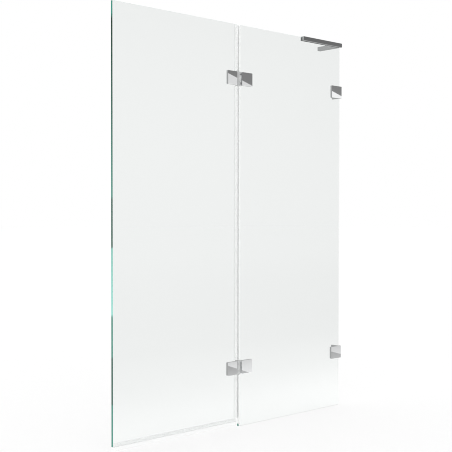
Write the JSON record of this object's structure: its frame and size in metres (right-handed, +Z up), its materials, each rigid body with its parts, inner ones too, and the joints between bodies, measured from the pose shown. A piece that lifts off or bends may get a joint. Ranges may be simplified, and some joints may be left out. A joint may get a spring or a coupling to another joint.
{
  "type": "hinged glass bath screen",
  "caption": "Frameless glass bath screen: a fixed pane clamped to the wall, a swing pane on glass-to-glass hinges, an L support bracket and clear seals.",
  "frame": {"origin": "middle of the lower wall clamp's two wall screw holes, on the wall face", "axes": "+X into the wall, +Y behind the glass towards the bath, +Z up"},
  "size_m": [1.154, 0.1255, 1.5035],
  "materials": {
    "clear_glass": "polished",
    "chrome": "mirror polished",
    "bright_steel": "bright",
    "rail_aluminium": "mill",
    "clear_vinyl": "clear, smooth",
    "gasket_rubber": "matt",
    "white_nylon": "satin"
  },
  "bodies": {
    "fixed_panel": {"fixed_pane": "clear_glass", "lower_wall_clamp": "chrome", "lower_clamp_gasket": "gasket_rubber", "lower_clamp_sleeves": "white_nylon", "lower_clamp_bolts": "bright_steel", "upper_wall_clamp": "chrome", "upper_clamp_gasket": "gasket_rubber", "upper_clamp_sleeves": "white_nylon", "upper_clamp_bolts": "bright_steel", "lower_hinge_fixed_leaf": "chrome", "lower_hinge_fixed_gasket": "gasket_rubber", "lower_hinge_fixed_sleeves": "white_nylon", "lower_hinge_fixed_bolts": "bright_steel", "lower_hinge_pin": "bright_steel", "lower_hinge_caps": "chrome", "upper_hinge_fixed_leaf": "chrome", "upper_hinge_fixed_gasket": "gasket_rubber", "upper_hinge_fixed_sleeves": "white_nylon", "upper_hinge_fixed_bolts": "bright_steel", "upper_hinge_pin": "bright_steel", "upper_hinge_caps": "chrome", "support_bracket": "chrome", "support_bracket_liner": "gasket_rubber", "support_bracket_wall_rail": "rail_aluminium", "support_bracket_glass_screws": "bright_steel", "support_bracket_rail_screws": "bright_steel", "fixed_seal_bottom": "clear_vinyl", "fixed_seal_middle": "clear_vinyl", "fixed_seal_top": "clear_vinyl"},
    "swing_panel": {"swing_pane": "clear_glass", "lower_hinge_swing_leaf": "chrome", "lower_hinge_swing_gasket": "gasket_rubber", "lower_hinge_swing_sleeves": "white_nylon", "lower_hinge_swing_bolts": "bright_steel", "lower_hinge_bushes": "white_nylon", "upper_hinge_swing_leaf": "chrome", "upper_hinge_swing_gasket": "gasket_rubber", "upper_hinge_swing_sleeves": "white_nylon", "upper_hinge_swing_bolts": "bright_steel", "upper_hinge_bushes": "white_nylon", "swing_seal_bottom": "clear_vinyl", "swing_seal_middle": "clear_vinyl", "swing_seal_top": "clear_vinyl", "sweep_seal": "clear_vinyl"}
  },
  "joints": [
    {"name": "swing_hinge", "type": "hinge", "parent": "fixed_panel", "child": "swing_panel", "pos_m": [-0.5854, -0.024, 0.539], "axis": [0, 0, 1], "range_deg": [-90, 90]}
  ]
}
